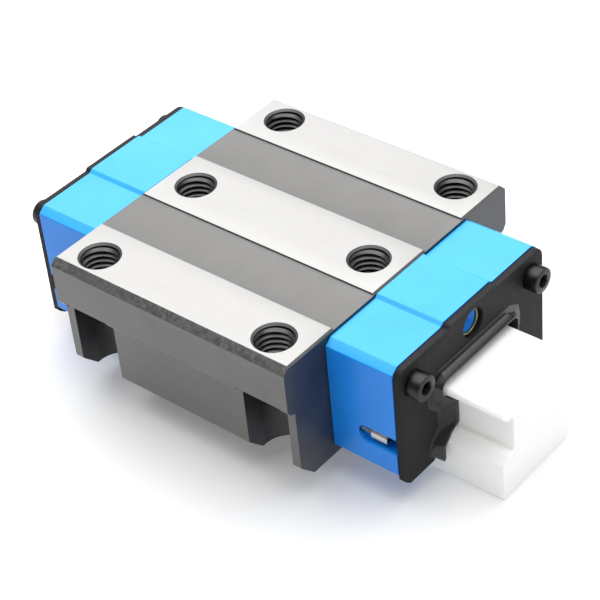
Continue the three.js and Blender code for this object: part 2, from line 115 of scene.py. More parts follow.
SEAL_SCREW_Y = (head_low.y + head_high.y) / 2
SEAL_SCREW_Z = (head_low.z + head_high.z) / 2
SEAL_SCREW_HOLE = 1.6
SEAL_SCREW_HOLE_END = 21.0
PLATE_SCREW_Y = (pin_low.y + pin_high.y) / 2
PLATE_SCREW_Z = (pin_low.z + pin_high.z) / 2
PLATE_SCREW_HOLE = 1.15
PLATE_SCREW_HOLE_END = 24.0
RECESS_RADIUS = 1.8
RECESS_START = 38.2
SCOOP_Y = 21.8
PLATE_SCREW_SEAT = 39.2
PORT_Z = (port_low.z + port_high.z) / 2
PORT_HOLE = 3.1
PORT_RING_INNER = 2.5
PORT_CONE = 2.2
PORT_BORE = 1.0
PORT_BORE_END = 33.0

END_PLATE_TOP = -1.0
END_PLATE_CHAMFER_RUN = 1.7
END_PLATE_CHAMFER_RISE = 1.3
END_PLATE_CORNER = 1.5
CROWN_EDGE = 7.3
CROWN_FOOT = 8.0
SEAL_CROWN_EDGE = 7.2
SEAL_CROWN_DROP = 0.6
SEAL_CORNER_RISE = 1.4
SEAL_CORNER_RUN = 1.6
SEAL_FOOT_CHAMFER = 1.2
LIP_FOOT_RISE = 0.8

TRACK_INSET = 5.1
RAIL_SHOULDER = 9.4
RAIL_WAIST = 7.4


# ---------- shape helpers ----------
def new_object(name, bm):
    bmesh.ops.recalc_face_normals(bm, faces=bm.faces)
    data = bpy.data.meshes.new(name)
    bm.to_mesh(data)
    bm.free()
    made = bpy.data.objects.new(name, data)
    bpy.context.scene.collection.objects.link(made)
    return made


def rounded(corners, steps=4):
    """A closed outline whose (u, v, radius) corners are rounded."""
    points = []
    for i, (u, v, radius) in enumerate(corners):
        here = Vector((u, v))
        before = Vector(corners[i - 1][:2]) - here
        after = Vector(corners[(i + 1) % len(corners)][:2]) - here
        if radius <= 0:
            points.append((u, v))
            continue
        half = before.angle(after) / 2
        reach = min(radius / math.tan(half), 0.45 * before.length, 0.45 * after.length)
        before.normalize()
        after.normalize()
        centre = here + (before + after).normalized() * (reach / math.cos(half))
        first = here + before * reach - centre
        last = here + after * reach - centre
        start = math.atan2(first.y, first.x)
        sweep = math.atan2(last.y, last.x) - start
        sweep = (sweep + math.pi) % (2 * math.pi) - math.pi
        for k in range(steps + 1):
            turn = start + sweep * k / steps
            out_u = first.length * math.cos(turn)
            out_v = first.length * math.sin(turn)
            points.append((centre.x + out_u, centre.y + out_v))
    return points


def mirrored(half):
    """A whole outline from its half at positive y, listed from the middle of the top."""
    return list(half) + [(-corner[0], *corner[1:]) for corner in reversed(half)]


def circle(radius, sides, u, v):
    turns = [2 * math.pi * (i + 0.5) / sides for i in range(sides)]
    return [(u + radius * math.cos(t), v + radius * math.sin(t)) for t in turns]


def arc(u, v, radius, from_degrees, to_degrees, steps):
    sweep = to_degrees - from_degrees
    turns = [math.radians(from_degrees + sweep * i / steps) for i in range(steps + 1)]
    return [(u + radius * math.cos(t), v + radius * math.sin(t)) for t in turns]


def loft(bm, rings):
    """A closed body through rings of points, capped at both ends."""
    rows = [[bm.verts.new(point) for point in ring] for ring in rings]
    count = len(rows[0])
    for low, high in zip(rows, rows[1:]):
        for i in range(count):
            j = (i + 1) % count
            bm.faces.new((low[i], low[j], high[j], high[i]))
    bm.faces.new(list(reversed(rows[0])))
    bm.faces.new(rows[-1])


def run_along_x(bm, outline, from_x, to_x):
    loft(bm, [[(x, y, z) for y, z in outline] for x in (from_x, to_x)])


def run_along_z(bm, outline, from_z, to_z):
    loft(bm, [[(x, y, z) for x, y in outline] for z in (from_z, to_z)])


def lathe(bm, profile, sides, place):
    """A round body from (along, radius) pairs; place(along, a, b) puts a point in the frame."""
    turns = [2 * math.pi * i / sides for i in range(sides)]
    rings = [[place(s, r * math.cos(t), r * math.sin(t)) for t in turns] for s, r in profile]
    loft(bm, rings)


def along_x_at(y, z):
    return lambda s, a, b: (s, y + a, z + b)


def along_z_at(x, y):
    return lambda s, a, b: (x + a, y + b, s)


def bevel_at_x(bm, planes, width, segments):
    """Rounds the edges that lie in the end planes."""
    ends = [
        edge
        for edge in bm.edges
        if any(all(abs(vert.co.x - x) < 1e-5 for vert in edge.verts) for x in planes)
    ]
    bmesh.ops.bevel(
        bm, geom=ends, offset=width, segments=segments, profile=0.5, affect="EDGES", clamp_overlap=True
    )


def cut(target, add_tools):
    """Cuts the bodies that add_tools puts in a bmesh out of the target, with the exact boolean."""
    tools = bmesh.new()
    add_tools(tools)
    tool = new_object("tool", tools)
    modifier = target.modifiers.new("cut", "BOOLEAN")
    modifier.operation = "DIFFERENCE"
    modifier.solver = "EXACT"
    modifier.object = tool
    graph = bpy.context.evaluated_depsgraph_get()
    result = bpy.data.meshes.new_from_object(target.evaluated_get(graph))
    target.modifiers.clear()
    old = target.data
    target.data = result
    bpy.data.meshes.remove(old)
    bpy.data.objects.remove(tool)


def finish_piece(piece, body, slot, materials, sharp_degrees=32, choices=None):
    """Scales a piece to metres, gives it its materials, shades it and ties it to its body; the slot
    argument is not used.
    """
    mesh = piece.data
    mesh.transform(Matrix.Scale(MM, 4))
    mesh.materials.clear()
    for material in materials:
        mesh.materials.append(material)
    if choices is not None:
        mesh.polygons.foreach_set("material_index", choices)
    mesh.shade_smooth()
    mesh.set_sharp_from_angle(angle=math.radians(sharp_degrees))
    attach(piece, body)


def turned_about(name, source, body, slot):
    """A copy of a front piece, turned half a turn about Z for the rear end."""
    data = source.data.copy()
    data.transform(Matrix.Rotation(math.pi, 4, "Z"))
    made = bpy.data.objects.new(name, data)
    bpy.context.scene.collection.objects.link(made)
    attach(made, body)
    return made


# ---------- material helpers ----------
NOISE_RANGE = (0.3, 0.7)


class Surface:
    """Builds one node material; the texture space is the object's own, in metres."""

    def __init__(self, name):
        self.material = bpy.data.materials.new(name)
        self.material.use_nodes = True
        self.tree = self.material.node_tree
        self.shader = self.tree.nodes["Principled BSDF"]
        self.coordinates = self.node("ShaderNodeTexCoord")

    def node(self, kind, **settings):
        made = self.tree.nodes.new(kind)
        for key, value in settings.items():
            setattr(made, key, value)
        return made

    def link(self, source, target):
        self.tree.links.new(source, target)

    def noise(self, per_metre, detail=3.0, roughness=0.5):
        """Noise with its own scale along each axis, given as features per metre."""
        mapping = self.node("ShaderNodeMapping")
        mapping.inputs["Scale"].default_value = per_metre
        self.link(self.coordinates.outputs["Object"], mapping.inputs["Vector"])
        texture = self.node("ShaderNodeTexNoise")
        texture.inputs["Scale"].default_value = 1.0
        texture.inputs["Detail"].default_value = detail
        texture.inputs["Roughness"].default_value = roughness
        self.link(mapping.outputs["Vector"], texture.inputs["Vector"])
        return texture.outputs["Fac"]

    def ramp(self, factor, low, high):
        """Colours a noise's usual range from low to high."""
        node = self.node("ShaderNodeValToRGB")
        for element, position, color in zip(node.color_ramp.elements, NOISE_RANGE, (low, high)):
            element.position = position
            element.color = (*color, 1)
        self.link(factor, node.inputs["Fac"])
        return node.outputs["Color"]

    def multiply(self, first, second):
        node = self.node("ShaderNodeMix", data_type="RGBA", blend_type="MULTIPLY")
        sockets = {socket.name: socket for socket in node.inputs if socket.enabled}
        sockets["Factor"].default_value = 1.0
        self.link(first, sockets["A"])
        self.link(second, sockets["B"])
        return next(socket for socket in node.outputs if socket.enabled)

    def spread(self, factor, low, high):
        """Maps a noise's usual range to low..high."""
        node = self.node("ShaderNodeMapRange")
        node.inputs["From Min"].default_value = NOISE_RANGE[0]
        node.inputs["From Max"].default_value = NOISE_RANGE[1]
        node.inputs["To Min"].default_value = low
        node.inputs["To Max"].default_value = high
        self.link(factor, node.inputs["Value"])
        return node.outputs["Result"]

    def bump(self, height, depth_mm):
        node = self.node("ShaderNodeBump")
        node.inputs["Strength"].default_value = 1.0
        node.inputs["Distance"].default_value = depth_mm * MM
        self.link(height, node.inputs["Height"])
        return node.outputs["Normal"]

    def set(self, **values):
        for key, value in values.items():
            target = self.shader.inputs[key.replace("_", " ")]
            if isinstance(value, bpy.types.NodeSocket):
                self.link(value, target)
            else:
                target.default_value = value


def even(value):
    return (value, value, value)


def tinted(value, tint):
    return tuple(value * part for part in tint)


WARM_STEEL = (1.0, 0.985, 0.965)
# A cool cast painted into the end faces' shade.
COOL_PAINTED_SHADE_TINT = (0.97, 0.99, 1.06)
BRASS_TINT = (1.0, 0.86, 0.36)


def steel(name, dark, light, roughness, lines, mottle, grain_mm, tint=WARM_STEEL):
    """Machined steel: lines are its cutting marks, mottle its uneven sheen."""
    made = Surface(name)
    marks = made.noise(lines, detail=4, roughness=0.6)
    cloud = made.noise(mottle, detail=5, roughness=0.6)
    base = made.ramp(cloud, tinted(dark, tint), tinted(light, tint))
    streak = made.ramp(marks, even(0.94), even(1.0))
    made.set(
        Base_Color=made.multiply(base, streak),
        Metallic=1.0,
        Roughness=made.spread(cloud, *roughness),
        Normal=made.bump(marks, grain_mm),
    )
    return made.material


def plastic(name, dark, light, roughness, grain_mm, cell=700.0, specular=0.5):
    """Moulded plastic or rubber with a fine eroded grain and slight clouding."""
    made = Surface(name)
    cloud = made.noise((90, 90, 90), detail=3)
    grain = made.noise((cell, cell, cell), detail=3, roughness=0.6)
    made.set(
        Base_Color=made.ramp(cloud, dark, light),
        Roughness=made.spread(grain, *roughness),
        Specular_IOR_Level=specular,
        Normal=made.bump(grain, grain_mm),
    )
    return made.material


GROUND_TOP = steel("steel_ground_top", 0.31, 0.34, (0.32, 0.40), (60, 2600, 60), even(50), 0.0012)
CHANNEL = steel("steel_milled_channel", 0.172, 0.190, (0.52, 0.62), (2200, 90, 90), even(130), 0.004)
# Darker copies of the casing steel with painted shade: the flank for the side faces, and the end face
# darker still with a painted cool cast.
FLANK_PAINTED_SHADE = steel("steel_flank_painted_shade", 0.145, 0.185, (0.38, 0.50), (70, 70, 1800), (110, 60, 110), 0.003)
END_FACE_PAINTED_SHADE = steel(
    "steel_end_face_painted_shade", 0.085, 0.125, (0.36, 0.50), (90, 90, 1500), (90, 45, 60), 0.004, COOL_PAINTED_SHADE_TINT
)
UNDERSIDE = steel("steel_underside", 0.20, 0.27, (0.42, 0.55), (80, 1500, 80), even(90), 0.004)
CHAMFER = steel("steel_rough_chamfer", 0.11, 0.22, (0.45, 0.62), even(1500), even(1300), 0.015)
# Darker copies of the steel with painted shade for the threads in the bolt bores and the pockets under
# the flange.
THREAD_PAINTED_SHADE = steel("steel_thread_painted_shade", 0.06, 0.12, (0.28, 0.42), even(800), even(300), 0.004)
POCKET_PAINTED_SHADE = steel("steel_pocket_painted_shade", 0.07, 0.12, (0.45, 0.60), even(600), even(200), 0.008)
SCREW = steel("screw_black_oxide", 0.028, 0.050, (0.30, 0.42), even(900), even(500), 0.003)
PIN = steel("screw_plain_zinc", 0.42, 0.60, (0.25, 0.38), even(900), even(400), 0.003)
BRASS = steel("ring_brass", 0.42, 0.55, (0.25, 0.36), even(800), even(600), 0.002, BRASS_TINT)
ROLLER = steel("roller_polished", 0.62, 0.72, (0.10, 0.18), even(1500), even(300), 0.0006)
# Lit and shaded copies of one blue moulding: the top copy is lighter with painted light, the wall copy
# is darker with painted shade.
BLUE_LIT_TOP_COPY = plastic(
    "blue_moulding_top_painted_light", (0.038, 0.39, 0.80), (0.045, 0.42, 0.84), (0.34, 0.40), 0.0007, 900, 0.3
)
BLUE_SHADED_WALL_COPY = plastic(
    "blue_moulding_wall_painted_shade", (0.002, 0.21, 0.76), (0.003, 0.25, 0.84), (0.30, 0.36), 0.0003, 900, 0.4
)
PLATE = plastic(
    "black_plate_paint", (0.010, 0.009, 0.010), (0.015, 0.014, 0.015), (0.55, 0.66), 0.003, 1400, 0.2
)
RUBBER = plastic("black_lip_rubber", even(0.004), even(0.007), (0.26, 0.36), 0.002, 1100)
GUIDE = plastic(
    "grey_guide_plastic", (0.024, 0.027, 0.032), (0.034, 0.038, 0.045), (0.40, 0.52), 0.003
)
RETAINER = plastic(
    "grey_retainer_plastic", (0.040, 0.044, 0.052), (0.055, 0.060, 0.070), (0.40, 0.52), 0.003
)
DARK = plastic("socket_shadow", even(0.003), even(0.005), (0.5, 0.6), 0.002)


def white_plastic():
    made = Surface("white_rail_plastic_painted_glow")
    cloud = made.noise((60, 110, 110), detail=4)
    grain = made.noise((160, 900, 900), detail=3)
    made.set(
        Base_Color=made.ramp(cloud, (0.86, 0.86, 0.84), (0.90, 0.90, 0.88)),
        Roughness=made.spread(grain, 0.34, 0.44),
        Normal=made.bump(grain, 0.004),
        Subsurface_Weight=0.25,
        Subsurface_Radius=(1.0, 1.0, 0.9),
        Subsurface_Scale=2 * MM,
        # The emission is painted light: the rail glows a little, lighter than the lamps alone make it.
        Emission_Color=(1.0, 1.0, 0.97, 1),
        Emission_Strength=0.12,
    )
    return made.material


WHITE_WITH_PAINTED_GLOW = white_plastic()


# ---------- casing ----------
def casing_outline():
    """The casing's section as (y, z, corner radius)."""
    flange = casing_high.y
    bottom = casing_low.z
    seat_top = bottom + UNDER_SEAL_DEPTH
    return rounded(
        mirrored(
            [
                (CHANNEL_INNER, 0, 0.12),
                (CHANNEL_INNER, -CHANNEL_DEPTH, 0.1),
                (CHANNEL_OUTER, -CHANNEL_DEPTH, 0.1),
                (CHANNEL_OUTER, 0, 0.12),
                (flange - TOP_CHAMFER, 0, 0.25),
                (flange, -TOP_CHAMFER, 0.25),
                (flange, FLANGE_BOTTOM, 0.35),
                (flange - FLANGE_LIP, FLANGE_BOTTOM - FLANGE_LIP_RISE, 0.2),
                (LEG_HALF_WIDTH, FLANGE_BOTTOM - FLANGE_LIP_FOOT, 0.2),
                (LEG_HALF_WIDTH, bottom + LEG_CORNER_RISE, 0.5),
                (LEG_HALF_WIDTH - LEG_CORNER_RUN, bottom, 0.5),
                (RAIL_SLOT_HALF + UNDER_SEAL_WIDTH, bottom, 0.25),
                (RAIL_SLOT_HALF + UNDER_SEAL_WIDTH, seat_top, 0),
                (RAIL_SLOT_HALF, seat_top, 0.2),
                (RAIL_SLOT_HALF, GROOVE_Z - NOSE_RISE, 0),
                (NOSE_TIP, GROOVE_Z - NOSE_FLAT, 0.05),
                (NOSE_TIP, GROOVE_Z + NOSE_FLAT, 0.05),
                (RAIL_SLOT_HALF, GROOVE_Z + NOSE_RISE, 0),
                (RAIL_SLOT_HALF, CROWN_UNDERSIDE, 0.4),
            ]
        ),
        steps=3,
    )


def add_end_bevels(bm):
    """Thin wedges off the top edge at both ends."""
    over = END_BEVEL / 5
    wide = casing_high.y + 1
    for end in ENDS.values():
        x = end * casing_high.x
        outer = x + end * over
        wedge = [(x - end * END_BEVEL, over), (outer, -END_BEVEL), (outer, over)]
        loft(bm, [[(u, y, v) for u, v in wedge] for y in (-wide, wide)])


def add_bolt_bores(bm):
    mouth = BOLT_MOUTH - BOLT_RADIUS
    profile = [
        (CROWN_UNDERSIDE - 2, BOLT_RADIUS),
        (-mouth, BOLT_RADIUS),
        (0, BOLT_MOUTH),
        (0.5, BOLT_MOUTH + 0.5),
    ]
    for x in BOLT_X:
        for y in BOLT_Y:
            lathe(bm, profile, 64, along_z_at(x, y))


def add_bolt_pockets(bm):
    for x in BOLT_X:
        for y in (BOLT_Y[0], BOLT_Y[-1]):
            side = math.copysign(1, y)
            far = side * (casing_high.y + 2)
            start = 180 if side > 0 else 0
            outline = arc(x, y, POCKET_RADIUS, start, start + 180, 32)
            outline += [(x + side * POCKET_RADIUS, far), (x - side * POCKET_RADIUS, far)]
            run_along_z(bm, outline, casing_low.z - 1, FLANGE_BOTTOM)


def return_centre(circuit):
    reach = 2 * TURN_RADIUS / math.sqrt(2)
    return LOADED_Y + reach, GROOVE_Z + circuit["rise"] + circuit["lean"] * reach


def add_return_bores(bm):
    far = casing_high.x + 1
    for side in SIDES.values():
        for circuit in CIRCUITS.values():
            y, z = return_centre(circuit)
            lathe(bm, [(-far, SLEEVE_BORE), (far, SLEEVE_BORE)], 48, along_x_at(side * y, z))


def add_casing_screw_holes(bm):
    far = casing_high.x + 1
    for side in SIDES.values():
        for end in ENDS.values():
            seal = along_x_at(side * SEAL_SCREW_Y, SEAL_SCREW_Z)
            pin = along_x_at(side * PLATE_SCREW_Y, PLATE_SCREW_Z)
            seal_ends = [end * SEAL_SCREW_HOLE_END, end * far]
            pin_ends = [end * PLATE_SCREW_HOLE_END, end * far]
            lathe(bm, [(x, SEAL_SCREW_HOLE) for x in seal_ends], 24, seal)
            lathe(bm, [(x, PLATE_SCREW_HOLE) for x in pin_ends], 24, pin)


def add_thread(bm, x, y):
    """A helical ridge whose root is set into the bore's wall."""
    steps = 44
    root = BOLT_RADIUS + 0.05
    half_root = THREAD_PITCH * 0.46
    half_crest = THREAD_PITCH * 0.08
    low = CROWN_UNDERSIDE + 0.75 if y == 0 else FLANGE_BOTTOM + 0.75
    high = -0.75
    count = int((high - low) / THREAD_PITCH * steps)
    rings = []
    for i in range(count + 1):
        turn = 2 * math.pi * i / steps
        z = low + THREAD_PITCH * i / steps
        fade = min(1.0, (count - i) / (0.6 * steps), i / (0.3 * steps))
        crest = root - 0.02 - (root - 0.02 - THREAD_CREST) * fade
        section = [
            (root, z - half_root),
            (crest, z - half_crest),
            (crest, z + half_crest),
            (root, z + half_root),
        ]
        rings.append([(x + r * math.cos(turn), y + r * math.sin(turn), h) for r, h in section])
    loft(bm, rings)


CASING_FINISHES_AND_SHADE = {
    "top": GROUND_TOP,
    "channel": CHANNEL,
    "flank": FLANK_PAINTED_SHADE,
    "end": END_FACE_PAINTED_SHADE,
    "underside": UNDERSIDE,
    "chamfer": CHAMFER,
    "thread": THREAD_PAINTED_SHADE,
    "pocket": POCKET_PAINTED_SHADE,
}


def in_bolt_bore(centre):
    here = Vector((centre.x, centre.y))
    spots = [Vector((x, y)) for x in BOLT_X for y in BOLT_Y]
    return centre.z < -0.02 and any((here - spot).length < BOLT_MOUTH - 0.1 for spot in spots)


def in_bolt_pocket(centre, normal):
    near_x = abs(abs(centre.x) - BOLT_X[1]) < POCKET_RADIUS + 0.01
    near_y = BOLT_Y[-1] - POCKET_RADIUS - 0.1 < abs(centre.y) < LEG_HALF_WIDTH - 0.05
    return near_x and near_y and centre.z < FLANGE_BOTTOM + 0.01 and abs(normal.x) < 0.999


def casing_finish_and_painted_shade(centre, normal):
    """Name of the steel copy a casing face gets: machined finishes for the top, channel, underside and
    chamfer, and darker copies with painted shade for the flank, end faces, pockets and threads.
    """
    y = abs(centre.y)
    # Threads, pockets, end faces and flanks take the darker copies with painted shade.
    if in_bolt_bore(centre):
        return "thread" if centre.z < BOLT_RADIUS - BOLT_MOUTH else "channel"
    if in_bolt_pocket(centre, normal):
        return "pocket"
    if abs(normal.x) > 0.9:
        return "end"
    if normal.z > 0.95:
        return "channel" if centre.z < -0.2 else "top"
    if normal.z > 0.3 and y > casing_high.y - 2:
        return "chamfer"
    if normal.z < -0.3:
        return "underside"
    if y > casing_high.y - 3:
        return "flank"
    return "underside" if centre.z < -1 else "channel"


def add_threads(bm):
    for x in BOLT_X:
        for y in BOLT_Y:
            add_thread(bm, x, y)


def join_threads(piece):
    """Adds the threads to the casing as closed bodies; returns how many faces they have."""
    threads = bmesh.new()
    add_threads(threads)
    bmesh.ops.recalc_face_normals(threads, faces=threads.faces)
    count = len(threads.faces)
    thread_mesh = bpy.data.meshes.new("threads")
    threads.to_mesh(thread_mesh)
    threads.free()
    whole = bmesh.new()
    whole.from_mesh(piece.data)
    whole.from_mesh(thread_mesh)
    whole.to_mesh(piece.data)
    whole.free()
    bpy.data.meshes.remove(thread_mesh)
    return count


def build_casing():
    bm = bmesh.new()
    run_along_x(bm, casing_outline(), casing_low.x, casing_high.x)
    bevel_at_x(bm, (casing_low.x, casing_high.x), 0.09, 1)
    piece = new_object("casing_steel_block", bm)
    cut(piece, add_end_bevels)
    cut(piece, add_bolt_bores)
    cut(piece, add_bolt_pockets)
    cut(piece, add_return_bores)
    cut(piece, add_casing_screw_holes)
    # Finishes for the top and channel, and darker copies with painted shade for the shaded places,
    # chosen face by face.
    names = list(CASING_FINISHES_AND_SHADE)
    choices = [names.index(casing_finish_and_painted_shade(poly.center, poly.normal)) for poly in piece.data.polygons]
    choices += [names.index("thread")] * join_threads(piece)
    finishes = list(CASING_FINISHES_AND_SHADE.values())
    finish_piece(piece, "carriage", "ground_steel", finishes, 30, choices)
    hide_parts("carriage_casing")


# ---------- end plates ----------
# Each opening's lobe reaches into the rail's groove through (y, rise, radius) corners.
PLATE_OPENING = {"half": 12.0, "top": -10.8, "corner": 1.6, "lobe": [(12, 6, 0.3), (7.9, 1.9, 0.5)]}
SEAL_OPENING = {
    "half": 12.7,
    "top": -10.2,
    "corner": 2.0,
    "lobe": [(12.7, 5.8, 0.3), (10.4, 3.5, 0.3), (8.5, 2.6, 0.4)],
}
LIP_OPENING = {
    "half": 12.2,
    "top": -10.6,
    "corner": 1.7,
    "lobe": [(12.2, 6.4, 0.3), (10.0, 4.1, 0.3), (7.65, 3.1, 0.4)],
}


def about_groove(corners):
    """(y, rise, radius) corners above the groove's middle, then the same below it."""
    above = [(y, GROOVE_Z + rise, radius) for y, rise, radius in corners]
    below = [(y, GROOVE_Z - rise, radius) for y, rise, radius in corners]
    return above + below[::-1]


def rail_opening(opening):
    """Half of an opening round the rail, from its top corner to its foot, as (y, z, radius)."""
    top_corner = (opening["half"], opening["top"], opening["corner"])
    return [top_corner, *about_groove(opening["lobe"])]


def end_plate_outline():
    wide = plate_high.y
    bottom = plate_low.z
    inner = rail_opening(PLATE_OPENING)
    foot = inner[-1][0]
    return rounded(
        mirrored(
            [
                (CROWN_EDGE, plate_high.z, 0.3),
                (CROWN_FOOT, END_PLATE_TOP, 0.3),
                (wide - END_PLATE_CHAMFER_RUN, END_PLATE_TOP, 0.5),
                (wide, END_PLATE_TOP - END_PLATE_CHAMFER_RISE, 0.5),
                (wide, bottom + END_PLATE_CORNER, 0.5),
                (wide - END_PLATE_CORNER, bottom, 0.5),
                (foot, bottom, 0.3),
                *reversed(inner),
            ]
        ),
        steps=4,
    )


def track_matrix(circuit, side):
    """A track's own (x, v, w) frame, with v from the loaded row to the return row."""
    angle = math.atan2(circuit["lean"], side)
    shift = Matrix.Translation((0, side * LOADED_Y, GROOVE_Z + circuit["rise"]))
    return shift @ Matrix.Rotation(angle, 4, "X")


def add_turn_slots(bm, circuit):
    """The D-shaped spaces that one circuit's rollers turn in, on both sides."""
    reach = TURN_RADIUS + ROLLER_RADIUS + TRACK_GAP
    start = circuit["count"] * ROLLER_PITCH / 2
    back = casing_high.x - 1
    bend = arc(start, TURN_RADIUS, reach, -90, 90, 24)
    outline = [(back, TURN_RADIUS - reach), *bend, (back, TURN_RADIUS + reach)]
    for side in SIDES.values():
        matrix = track_matrix(circuit, side)
        ends = (-SLOT_HALF_WIDTH, SLOT_HALF_WIDTH)
        loft(bm, [[matrix @ Vector((x, v, w)) for x, v in outline] for w in ends])


def add_recess_levels(bm, start, rounded_end, levels):
    """Tools for one recess in each side wall, open to the seal plate, through (y, radius) levels."""
    far = plate_high.x + 1
    for side in SIDES.values():
        rings = []
        for y, radius in levels:
            corners = [(far, PLATE_SCREW_Z - radius), (far, PLATE_SCREW_Z + radius)]
            inner = [(start, PLATE_SCREW_Z + radius), (start, PLATE_SCREW_Z - radius)]
            if rounded_end:
                inner = arc(start, PLATE_SCREW_Z, radius, 90, 270, 20)
            rings.append([(x, side * y, z) for x, z in inner + corners])
        loft(bm, rings)


def add_scoops(bm):
    """The shallow part of the side recess, rounded at its inner end and flared at the surface."""
    surface = plate_high.y
    flared = RECESS_RADIUS + 0.24
    levels = [
        (SCOOP_Y, RECESS_RADIUS),
        (surface - 0.22, RECESS_RADIUS),
        (surface + 0.02, flared),
        (surface + 1, flared),
    ]
    add_recess_levels(bm, RECESS_START, True, levels)


def add_head_slots(bm):
    levels = [(PLATE_SCREW_Y, RECESS_RADIUS), (plate_high.y + 1, RECESS_RADIUS)]
    add_recess_levels(bm, PLATE_SCREW_SEAT, False, levels)


def add_head_bores(bm):
    far = plate_high.x + 1
    for side in SIDES.values():
        place = along_x_at(side * PLATE_SCREW_Y, PLATE_SCREW_Z)
        lathe(bm, [(PLATE_SCREW_SEAT, RECESS_RADIUS), (far, RECESS_RADIUS)], 32, place)


def add_plate_holes(bm):
    near = plate_low.x - 1
    far = plate_high.x + 1
    for side in SIDES.values():
        seal = along_x_at(side * SEAL_SCREW_Y, SEAL_SCREW_Z)
        pin = along_x_at(side * PLATE_SCREW_Y, PLATE_SCREW_Z)
        lathe(bm, [(x, SEAL_SCREW_HOLE) for x in (near, far)], 24, seal)
        lathe(bm, [(x, PLATE_SCREW_HOLE) for x in (near, PLATE_SCREW_SEAT + 1)], 24, pin)


def add_port_bore(bm):
    """The blind oilway and its conical seat."""
    face = plate_high.x
    depth = PORT_CONE - PORT_BORE
    profile = [
        (PORT_BORE_END, PORT_BORE),
        (face - depth, PORT_BORE),
        (face, PORT_CONE),
        (face + 0.5, PORT_CONE + 0.5),
    ]
    lathe(bm, profile, 48, along_x_at(0, PORT_Z))


def build_end_plates():
    bm = bmesh.new()
    run_along_x(bm, end_plate_outline(), plate_low.x, plate_high.x)
    bevel_at_x(bm, (plate_high.x,), 0.28, 3)
    bevel_at_x(bm, (plate_low.x,), 0.1, 1)
    piece = new_object("end_cap_moulding_front", bm)
    cut(piece, add_port_bore)
    for circuit in CIRCUITS.values():
        cut(piece, lambda tools, turned=circuit: add_turn_slots(tools, turned))
    cut(piece, add_scoops)
    cut(piece, add_head_slots)
    cut(piece, add_head_bores)
    cut(piece, add_plate_holes)
    faces = piece.data.polygons
    # Faces that don't face up, or lie below the top, take the darker copy with painted shade.
    painted_shade_walls = [int(poly.normal.z < 0.6 or poly.center.z < -3) for poly in faces]
    finish_piece(piece, "carriage", "blue_plastic", [BLUE_LIT_TOP_COPY, BLUE_SHADED_WALL_COPY], choices=painted_shade_walls)
    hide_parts("end_plate_front")
    rear = turned_about("end_cap_moulding_rear", piece, "carriage", "blue_plastic")
    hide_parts("end_plate_rear")


# ---------- seals ----------
def seal_plate_outline():
    inner = rail_opening(SEAL_OPENING)
    foot = inner[-1][0]
    wide = seal_high.y
    bottom = seal_low.z
    shoulder = seal_high.z - SEAL_CROWN_DROP
    return rounded(
        mirrored(
            [
                (SEAL_CROWN_EDGE, seal_high.z, 0.4),
                (SEAL_CROWN_EDGE + SEAL_CROWN_DROP, shoulder, 0.3),
                (wide, shoulder, 2.0),
                (wide, bottom + SEAL_CORNER_RISE, 0.5),
                (wide - SEAL_CORNER_RUN, bottom, 0.6),
                (foot + SEAL_FOOT_CHAMFER, bottom, 0.4),
                (foot, bottom + SEAL_FOOT_CHAMFER, 0.2),
                *reversed(inner),
            ]
        ),
        steps=6,
    )


def add_seal_holes(bm):
    near = seal_low.x - 0.5
    far = seal_high.x
    chamfer = 0.15
    for side in SIDES.values():
        profile = [(near, SEAL_SCREW_HOLE), (far + 1, SEAL_SCREW_HOLE)]
        lathe(bm, profile, 32, along_x_at(side * SEAL_SCREW_Y, SEAL_SCREW_Z))
    mouth = PORT_HOLE + chamfer
    profile = [(near, PORT_HOLE), (far - chamfer, PORT_HOLE), (far, mouth), (far + 1, mouth)]
    lathe(bm, profile, 64, along_x_at(0, PORT_Z))


def build_seal_plates():
    bm = bmesh.new()
    run_along_x(bm, seal_plate_outline(), seal_low.x, seal_high.x)
    bevel_at_x(bm, (seal_low.x, seal_high.x), 0.16, 2)
    piece = new_object("seal_cover_front", bm)
    cut(piece, add_seal_holes)
    finish_piece(piece, "carriage", "black_plate", [PLATE])
    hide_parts("seal_plate_front")
    rear = turned_about("seal_cover_rear", piece, "carriage", "black_plate")
    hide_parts("seal_plate_rear")


# Each row holds the (y, z) of one corner of the lip's outer edge: on the plate, on the ridge
# that the flap starts from, and on the flap's rim.
LIP_EDGE = [
    ((11.6, -8.4), (10.6, -9.6), (11.2, -10.15)),
    ((14.6, -10.0), (13.3, -10.9), (12.65, -11.6)),
    ((15.2, -12.6), (13.6, -13.0), (12.65, -13.2)),
    ((15.0, -15.4), (13.2, -15.6), (12.65, -14.3)),
    ((12.4, -18.2), (10.9, -18.2), (8.4, -17.6)),
    ((12.4, -21.8), (10.9, -21.8), (8.4, -22.4)),
    ((14.6, -24.0), (12.7, -24.9), (10.6, -23.6)),
    ((15.3, -25.2), (13.6, -25.6), (12.75, -25.9)),
    ((15.4, -27.5), (15.4, -27.5), (13.2, -27.6)),
    ((13.7, -28.8), (13.7, -28.8), (13.2, -28.8)),
    ((12.7, -29.98), (12.7, -29.98), (12.7, -29.98)),
]


